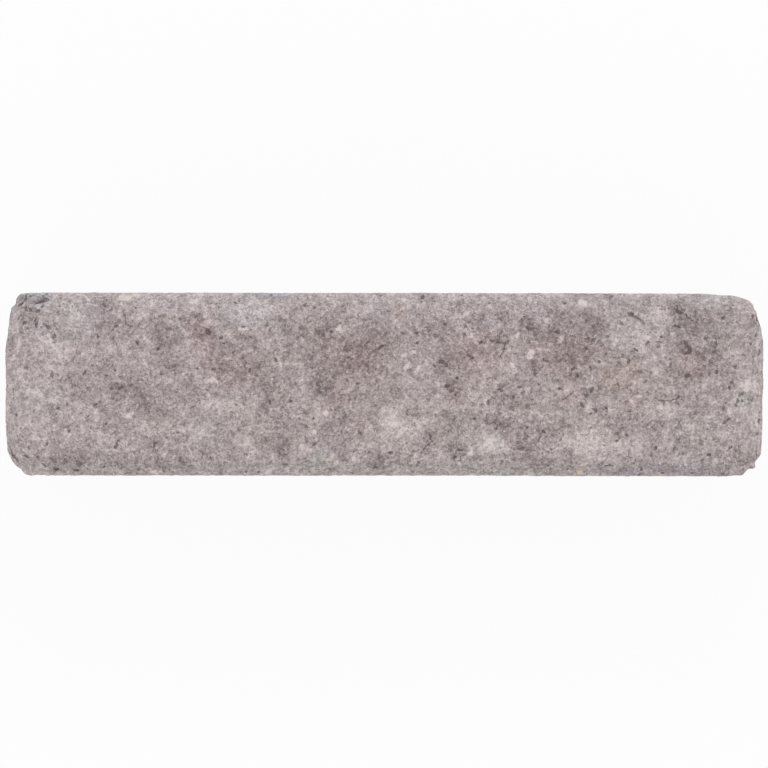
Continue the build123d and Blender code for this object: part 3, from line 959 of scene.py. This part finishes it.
TINTS = [
    Tint(384, 384, 420, 100, 0.5, -0.7),
    Tint(38, 300, 16, 10, -5.0, 5.0),
    Tint(12, 308, 8, 12, -2.0, 3.6),
    Tint(70, 325, 26, 24, -1.0, 1.8),
    Tint(38, 335, 12, 16, 1.0, 2.4),
    Tint(103, 318, 16, 30, 1.0, 2.6),
    Tint(123, 300, 10, 6, 0.3, -2.0),
    Tint(176, 302, 34, 12, 0.8, 2.4),
    Tint(46, 372, 20, 10, 0.8, 2.2),
    Tint(12, 360, 8, 12, 3.4, 2.4),
    Tint(44, 402, 26, 16, -1.0, 1.8),
    Tint(52, 434, 26, 16, 0.8, 1.8),
    Tint(125, 395, 18, 28, 0.9, 2.4),
    Tint(120, 447, 62, 14, 0.9, 2.2),
    Tint(178, 360, 18, 22, 1.2, 2.4),
    Tint(187, 405, 10, 26, 0.9, 2.2),
    Tint(208, 428, 20, 20, -1.0, 1.8),
    Tint(230, 468, 60, 7, 1.0, 2.4),
    Tint(245, 312, 28, 14, -2.0, 2.2),
    Tint(270, 295, 30, 5, -5.0, 6.0),
    Tint(276, 325, 20, 10, -1.0, 1.6),
    Tint(254, 345, 34, 9, 0.9, 2.4),
    Tint(202, 338, 16, 20, 4.4, 1.4),
    Tint(232, 368, 34, 16, 3.4, 0.6),
    Tint(238, 388, 16, 7, 3.0, 2.2),
    Tint(305, 376, 18, 8, 0.9, 2.4),
    Tint(352, 358, 36, 28, 3.6, 0.5),
    Tint(335, 400, 16, 14, 3.2, 0.5),
    Tint(360, 428, 9, 14, 3.2, 0.5),
    Tint(373, 298, 14, 6, 0.5, 6.0),
    Tint(378, 312, 14, 8, -1.0, 3.0),
    Tint(399, 312, 7, 8, 3.6, -1.6),
    Tint(415, 312, 14, 24, 1.2, 2.4),
    Tint(432, 358, 18, 26, 0.9, 2.5),
    Tint(515, 310, 90, 24, 1.4, 3.0),
    Tint(478, 358, 32, 26, 3.5, 0.5),
    Tint(458, 398, 12, 14, 3.4, 0.5),
    Tint(565, 353, 38, 22, 3.5, 0.4),
    Tint(568, 395, 10, 18, 3.2, 0.4),
    Tint(622, 376, 24, 12, 5.0, -1.8),
    Tint(632, 400, 10, 14, 3.4, 0.4),
    Tint(522, 368, 12, 16, 0.9, 2.2),
    Tint(630, 330, 42, 20, -0.5, 1.6),
    Tint(640, 300, 54, 10, 1.4, 3.0),
    Tint(690, 366, 17, 16, 3.5, 0.4),
    Tint(685, 322, 18, 14, 0.9, 2.2),
    Tint(714, 299, 26, 7, -3.6, 2.4),
    Tint(720, 334, 16, 16, -1.4, -0.6),
    Tint(759, 330, 5, 28, -1.5, 5.0),
    Tint(743, 398, 9, 8, -5.5, -2.2),
    Tint(760, 424, 5, 16, -3.4, -1.6),
    Tint(748, 455, 14, 8, -0.6, -2.6),
    Tint(392, 422, 26, 38, -0.6, -0.5),
    Tint(462, 436, 22, 24, -1.2, -0.5),
    Tint(592, 440, 22, 22, -0.5, -0.5),
    Tint(698, 440, 24, 22, -1.2, -0.5),
    Tint(495, 445, 14, 7, -2.6, -0.8),
    Tint(308, 467, 24, 8, -4.6, -1.6),
    Tint(318, 455, 14, 6, -1.5, 3.0),
    Tint(500, 470, 64, 6, -4.6, -1.8),
    Tint(580, 471, 4.5, 5, 4.0, -10.0),
    Tint(662, 470.5, 84, 6, 1.8, 6.5),
]
red = np.zeros(count)
blue = np.zeros(count)
for tint in TINTS:
    spread = cloud_of(tint, 1.2, 0.5, 1.4)
    red += spread * tint.red
    blue += spread * tint.blue
red = red * over_wear_face + cloud_red * (1 - over_wear_face)
blue = blue * over_wear_face + cloud_blue * (1 - over_wear_face)
note("red", red / 10)
note("blue", blue / 10)
print("tints:", len(TINTS))

# %% [markdown]
# ## A flat pattern sheet
# When the colours are written into a picture for other programs, each face of the block should come
# out whole. The six faces are laid flat beside each other, and each triangle goes to the face that
# its middle lies nearest to, so the cuts run along the worn edges where nobody looks for them.

# %% Lay the six faces out on one sheet
GAP = 1.5
sheet_wide = LENGTH + WIDTH + 3 * GAP
sheet_tall = 2 * WIDTH + 2 * HEIGHT + 5 * GAP
middles = rows_of(skin.polygons, "center") * 1000
from_faces = np.stack(
    [
        HEIGHT - middles[:, 2],
        middles[:, 2],
        WIDTH / 2 + middles[:, 1],
        WIDTH / 2 - middles[:, 1],
        LENGTH / 2 + middles[:, 0],
        LENGTH / 2 - middles[:, 0],
    ],
    1,
)
nearest = from_faces.argmin(1)
corner_points = np.empty(len(skin.loops), np.int32)
skin.loops.foreach_get("vertex_index", corner_points)
corner_faces = np.repeat(nearest, [polygon.loop_total for polygon in skin.polygons])
x, y, z = places[corner_points].T
x, y = x + LENGTH / 2, y + WIDTH / 2
second_column = LENGTH + 2 * GAP
layout = [
    (x + GAP, y + GAP),
    (x + GAP, y + WIDTH + 2 * GAP),
    (x + GAP, z + 2 * WIDTH + 3 * GAP),
    (x + GAP, z + 2 * WIDTH + HEIGHT + 4 * GAP),
    (y + second_column, z + GAP),
    (y + second_column, z + HEIGHT + 2 * GAP),
]
sheet = np.zeros((len(corner_points), 2))
for face, (right, up) in enumerate(layout):
    chosen = corner_faces == face
    sheet[chosen, 0] = right[chosen] / sheet_wide
    sheet[chosen, 1] = up[chosen] / sheet_tall
pattern = skin.uv_layers.new(name="OFBake")
pattern.data.foreach_set("uv", sheet.ravel().astype(np.float32))
print("the sheet is", round(sheet_wide), "x", round(sheet_tall), "mm")

# %% [markdown]
# ## The concrete
# Seen close, the colour of concrete is the colour of its parts: grey-mauve cement, paler and darker
# grains of sand, and gaps between them, darkened with painted shade, as are the pits. The material adds
# these up as steps of brightness, and one colour ramp turns the sum into colour, because all tones of
# this block keep nearly one hue.

# %% A small set of helpers for nodes
concrete = bpy.data.materials.new("tumbled_concrete")
concrete.use_nodes = True
tree = concrete.node_tree
tree.nodes.clear()


def node(kind, **settings):
    """A new node of the concrete, with its settings."""
    made = tree.nodes.new(kind)
    for name, value in settings.items():
        setattr(made, name, value)
    return made


def feed(socket, source):
    """Gives a socket either a number or another node's result."""
    if isinstance(source, bpy.types.NodeSocket):
        tree.links.new(source, socket)
    else:
        socket.default_value = source


def maths(operation, *sources):
    """A Math node on these numbers or results."""
    made = node("ShaderNodeMath", operation=operation)
    for socket, source in zip(made.inputs, sources):
        feed(socket, source)
    return made.outputs[0]


def total(*sources):
    """The sum of several results."""
    result = sources[0]
    for source in sources[1:]:
        result = maths("ADD", result, source)
    return result


# %% Where a point lies, in millimetres
place = node("ShaderNodeTexCoord")
in_millimetres = node("ShaderNodeVectorMath", operation="SCALE")
feed(in_millimetres.inputs[0], place.outputs["Object"])
feed(in_millimetres.inputs["Scale"], 1000)
position = in_millimetres.outputs[0]


def noise_at(vector, grain, detail, roughness=0.5):
    """The results of Blender's own noise at these places, with its grain in millimetres."""
    made = node("ShaderNodeTexNoise")
    feed(made.inputs["Vector"], vector)
    feed(made.inputs["Scale"], 1 / grain)
    feed(made.inputs["Detail"], detail)
    feed(made.inputs["Roughness"], roughness)
    return made.outputs


def cloudy(grain, detail=2.0, roughness=0.55):
    """Plain noise over the block."""
    return noise_at(position, grain, detail, roughness)["Fac"]


def grains_at(vector, width):
    """The results of cells as wide as a grain, each with its own random numbers."""
    made = node("ShaderNodeTexVoronoi")
    feed(made.inputs["Vector"], vector)
    feed(made.inputs["Scale"], 1 / width)
    return made.outputs


def swing(source, most):
    """Turns a result between 0 and 1 into steps of brightness either way."""
    return maths("MULTIPLY", maths("SUBTRACT", source, 0.5), most / 100)


def between(source, start, end, low_value, high_value):
    """Maps one span of a result onto another, smoothly."""
    made = node("ShaderNodeMapRange", interpolation_type="SMOOTHSTEP")
    for name, value in (
        ("Value", source),
        ("From Min", start),
        ("From Max", end),
        ("To Min", low_value),
        ("To Max", high_value),
    ):
        feed(made.inputs[name], value)
    return made.outputs["Result"]


def noted(name):
    """A number that was kept on the mesh."""
    return node("ShaderNodeAttribute", attribute_name=name).outputs["Fac"]


# %% Brightness, from clouds a few millimetres wide down to single grains
ground = cloudy(4.6, 4.3, 0.92)
clumps = cloudy(1.5, 2.0, 0.6)
sand = cloudy(0.62, 1.0)
dust = cloudy(0.3, 0.0)
grain_hue = node("ShaderNodeSeparateColor")
feed(grain_hue.inputs[0], grains_at(position, 0.7)["Color"])


# %% Bent places, so that round things come out ragged
def bent(reach, grain, offset):
    """Places pushed about by a noise, up to this far, in millimetres."""
    shifted = node("ShaderNodeVectorMath", operation="ADD")
    feed(shifted.inputs[0], position)
    feed(shifted.inputs[1], (offset, -offset, 0.6 * offset))
    centred = node("ShaderNodeVectorMath", operation="SUBTRACT")
    feed(centred.inputs[0], noise_at(shifted.outputs[0], grain, 1.0)["Color"])
    feed(centred.inputs[1], (0.5, 0.5, 0.5))
    pushed = node("ShaderNodeVectorMath", operation="MULTIPLY_ADD")
    feed(pushed.inputs[0], centred.outputs[0])
    feed(pushed.inputs[1], (reach, reach, reach))
    feed(pushed.inputs[2], shifted.outputs[0])
    return pushed.outputs[0]


# %% Gaps that wind between the grains, with painted shade in them
def winding(grain, half_width, offset):
    """Thin lines where a noise crosses its middle value: bent like the gaps between grains."""
    height = noise_at(bent(0.8, 1.1, offset), grain, 0.0)["Fac"]
    distance = maths("ABSOLUTE", maths("SUBTRACT", height, 0.5))
    return between(distance, half_width * 0.35, half_width, 1, 0)


darkness = maths("MULTIPLY", noted("tone"), -0.5)
some_places = between(maths("ADD", cloudy(1.1, 1.0), darkness), 0.5, 0.58, 0, 1)
gaps = maths("MULTIPLY", winding(1.0, 0.14, 7.0), some_places)


# %% Flecks, thicker in some places than in others
def flecks(grain, least, most, offset, lean):
    """Ragged flecks where a bent noise runs high. The lean makes them thicker where it is high."""
    height = noise_at(bent(0.8, 1.0, offset), grain, 1.0)["Fac"]
    return between(maths("ADD", height, lean), least, most, 0, 1)


crowding = total(swing(cloudy(3.4, 1.0), 34), darkness)
dark_flecks = flecks(1.15, 0.585, 0.655, 5.0, crowding)
small_flecks = flecks(0.66, 0.59, 0.67, 15.0, crowding)
pale_flecks = flecks(1.15, 0.57, 0.66, 29.0, maths("MULTIPLY", crowding, -1.0))


# %% Pinholes with painted shade and pale grains too small for the mesh, and painted shade in its pits
def spots(cell, share, least, most, offset):
    """Ragged spots in some cells, as wide as their cells' own random numbers say."""
    found = grains_at(bent(1.5, 0.9, offset), cell)
    own = node("ShaderNodeSeparateColor")
    feed(own.inputs[0], found["Color"])
    chosen = between(own.outputs[0], 1 - share, 1 - share + 0.02, 0, 1)
    radius = between(own.outputs[1], 0, 1, least / cell, most / cell)
    inside = between(maths("DIVIDE", found["Distance"], radius), 0.7, 1.1, 1, 0)
    return maths("MULTIPLY", inside, chosen)


# Painted shade: pinholes are dark spots in the colour, where shade would lie in holes too small for the
# mesh. The bump sinks them too.
pinholes = spots(4.4, 0.4, 0.25, 0.6, 11.0)
pale_grains = spots(1.8, 0.2, 0.3, 0.62, 23.0)
# Painted shade: the colour darkens in the deepest part of the mesh's pits, clefts and voids, and in the
# gaps round stones. The same mask also sinks the bump.
pit_shape = maths("ADD", noted("hollow_shade"), maths("MULTIPLY", maths("SUBTRACT", sand, 0.5), 0.6))
pit_depth_and_shade = between(pit_shape, 0.37, 0.58, 0, 1)

patchy = between(cloudy(1.4, 2.0, 0.6), 0.34, 0.66, 0.18, 1.22)
brightness = total(
    maths("MULTIPLY", noted("tone"), patchy),
    swing(ground, 124),
    swing(sand, 56),
    swing(dust, 50),
    swing(grain_hue.outputs[0], 12),
    # Painted shade in the gaps between grains.
    maths("MULTIPLY", gaps, -0.13),
    maths("MULTIPLY", dark_flecks, -0.17),
    maths("MULTIPLY", small_flecks, -0.16),
    maths("MULTIPLY", pale_flecks, 0.18),
    # Painted shade in the pinholes.
    maths("MULTIPLY", pinholes, -0.16),
    maths("MULTIPLY", pale_grains, 0.1),
    # Painted shade in the pits of the mesh.
    maths("MULTIPLY", pit_depth_and_shade, -0.48),
    maths("MULTIPLY", noted("paleness"), 0.5),
    0.053,
)
ramp_place = total(maths("MULTIPLY", brightness, 100 / 108), 0.555)

# %% One ramp from dark to pale
COLOURS = [
    (0.00, (108, 96, 95)),
    (0.28, (138, 126, 125)),
    (0.555, (166, 155, 154)),
    (0.80, (194, 183, 182)),
    (1.00, (215, 203, 202)),
]


def as_light(steps):
    """A colour written in picture steps, as the amounts of light that Blender works with."""
    light = []
    for step in steps:
        share = step / 255
        light.append(share / 12.92 if share <= 0.04045 else ((share + 0.055) / 1.055) ** 2.4)
    return light + [1]


tones = node("ShaderNodeValToRGB")
stops = tones.color_ramp.elements
while len(stops) < len(COLOURS):
    stops.new(0.5)
for stop, (share, colour) in zip(stops, COLOURS):
    stop.position = share
    stop.color = as_light(colour)
feed(tones.inputs["Fac"], ramp_place)

# %% Shift the hue by the steps of red and blue
# A step of colour near the middle of the scale changes its light by about 1.4 percent.
PER_STEP = 0.014
channels = node("ShaderNodeSeparateColor")
feed(channels.inputs[0], tones.outputs["Color"])
red_steps = maths("MULTIPLY", noted("red"), 10 * PER_STEP)
blue_steps = maths("MULTIPLY", noted("blue"), 10 * PER_STEP)
evened = maths("MULTIPLY", maths("ADD", red_steps, blue_steps), -0.333)
hued = node("ShaderNodeCombineColor")
red_shift = maths("ADD", red_steps, evened)
blue_shift = maths("ADD", blue_steps, evened)
for index, shift in enumerate((red_shift, evened, blue_shift)):
    feed(hued.inputs[index], maths("MULTIPLY", channels.outputs[index], maths("ADD", shift, 1.0)))
colour = hued.outputs[0]

# %% The relief too fine for the mesh, and the surface itself
height = total(
    maths("MULTIPLY", clumps, 0.6),
    maths("MULTIPLY", sand, 0.6),
    maths("MULTIPLY", dust, 0.3),
    maths("MULTIPLY", grains_at(position, 0.8)["Distance"], -0.25),
    maths("MULTIPLY", gaps, -0.3),
    maths("MULTIPLY", dark_flecks, -0.4),
    maths("MULTIPLY", small_flecks, -0.3),
    maths("MULTIPLY", pale_flecks, 0.2),
    maths("MULTIPLY", pinholes, -0.7),
    maths("MULTIPLY", pit_depth_and_shade, -0.6),
    maths("MULTIPLY", pale_grains, 0.25),
)
bump = node("ShaderNodeBump")
feed(bump.inputs["Strength"], 1.0)
feed(bump.inputs["Distance"], 0.00025)
feed(bump.inputs["Height"], height)
surface = node("ShaderNodeBsdfPrincipled")
feed(surface.inputs["Base Color"], colour)
feed(surface.inputs["Roughness"], 0.93)
feed(surface.inputs["Normal"], bump.outputs["Normal"])
output = node("ShaderNodeOutputMaterial")
feed(output.inputs["Surface"], surface.outputs["BSDF"])
skin.materials.clear()
skin.materials.append(concrete)
print("the concrete has", len(tree.nodes), "nodes")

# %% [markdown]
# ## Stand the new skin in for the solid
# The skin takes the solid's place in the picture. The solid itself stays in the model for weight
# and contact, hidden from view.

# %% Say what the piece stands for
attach(paver, "root")
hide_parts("paver")

# %% [markdown]
# ## Floor, light and camera
# The photograph shows the block on plain white, as in a tent of light, with a little more light from
# the back. The world gives the soft light all round. A wide lamp behind gives the direction that
# makes the grains stand out, and a weak one in front lifts the near edge. The floor is pale, shows
# nearly white to the camera, and keeps a faint shadow.


# %% Helpers that show one thing to the camera and another to the light
def seen_straight():
    """1 for the rays that make the picture, and 0 for those that carry light from place to place."""
    ray = node("ShaderNodeLightPath")
    seen = maths("MAXIMUM", ray.outputs["Is Camera Ray"], ray.outputs["Is Glossy Ray"])
    return maths("MAXIMUM", seen, ray.outputs["Is Transmission Ray"])


def white_node(kind, strength):
    """An even white light from an emission or a background."""
    made = node(kind)
    feed(made.inputs["Color"], (1, 1, 1, 1))
    feed(made.inputs["Strength"], strength)
    return made.outputs[0]


def blend_into(kind, share, first, second):
    """Sends a blend of two surfaces or lights to the output."""
    blend = node("ShaderNodeMixShader")
    for socket, source in zip(blend.inputs, (share, first, second)):
        feed(socket, source)
    feed(node(kind).inputs["Surface"], blend.outputs[0])


# %% The floor
FLOOR_SIDE = 6.0
FLOOR_WHITENESS = 0.93
half = FLOOR_SIDE / 2
floor_mesh = bpy.data.meshes.new("floor")
floor_corners = [(-half, -half, 0), (half, -half, 0), (half, half, 0), (-half, half, 0)]
floor_mesh.from_pydata(floor_corners, [], [(0, 1, 2, 3)])
floor = add_object("floor", floor_mesh)
paint = bpy.data.materials.new("pale_floor")
paint.use_nodes = True
tree = paint.node_tree
tree.nodes.clear()
matt = node("ShaderNodeBsdfDiffuse")
feed(matt.inputs["Color"], (0.8, 0.8, 0.8, 1))
white = white_node("ShaderNodeEmission", 1.0)
share_white = maths("MULTIPLY", seen_straight(), FLOOR_WHITENESS)
blend_into("ShaderNodeOutputMaterial", share_white, matt.outputs[0], white)
floor_mesh.materials.append(paint)

# %% The soft light all round
world = bpy.data.worlds.new("studio")
bpy.context.scene.world = world
world.use_nodes = True
tree = world.node_tree
tree.nodes.clear()
SOFT_LIGHT = 0.8
soft = white_node("ShaderNodeBackground", SOFT_LIGHT)
backdrop = white_node("ShaderNodeBackground", 1.0)
blend_into("ShaderNodeOutputWorld", seen_straight(), soft, backdrop)

# %% A lamp behind and a weaker one in front, both rather low
middle = Vector((0, 0, HEIGHT / 1000))


def add_lamp(name, place, size, energy):
    """A square lamp that shines on the block."""
    lamp = bpy.data.lights.new(name, "AREA")
    lamp.shape = "SQUARE"
    lamp.size = size
    lamp.energy = energy
    holder = add_object(name, lamp)
    holder.location = place
    holder.rotation_mode = "QUATERNION"
    holder.rotation_quaternion = (middle - holder.location).to_track_quat("-Z", "Y")


add_lamp("back_lamp", (0.05, 1.0, 1.06), 0.7, 5.2)
add_lamp("front_lamp", (-0.1, -1.1, 0.83), 0.8, 2.0)

# %% The camera, straight above with a long lens
LENS = 250.0
SENSOR = 36.0
OUTLINE_LEVEL = HEIGHT - 3.5
CAMERA_ROLL = 0.08
picture_width = PICTURE_SIDE * STEP
rise = picture_width * LENS / SENSOR
camera = bpy.data.cameras.new("camera")
camera.lens = LENS
camera.sensor_width = SENSOR
camera_holder = add_object("camera", camera)
picture_centre = PICTURE_SIDE / 2
camera_holder.location = (
    across(picture_centre) / 1000,
    upward(picture_centre) / 1000,
    (OUTLINE_LEVEL + rise) / 1000,
)
camera_holder.rotation_euler = (0, 0, math.radians(CAMERA_ROLL))
camera.clip_start, camera.clip_end = 0.05, 50
bpy.context.scene.camera = camera_holder
bpy.context.scene.view_settings.view_transform = "Standard"
print("the camera hangs", round(rise), "mm above the block")
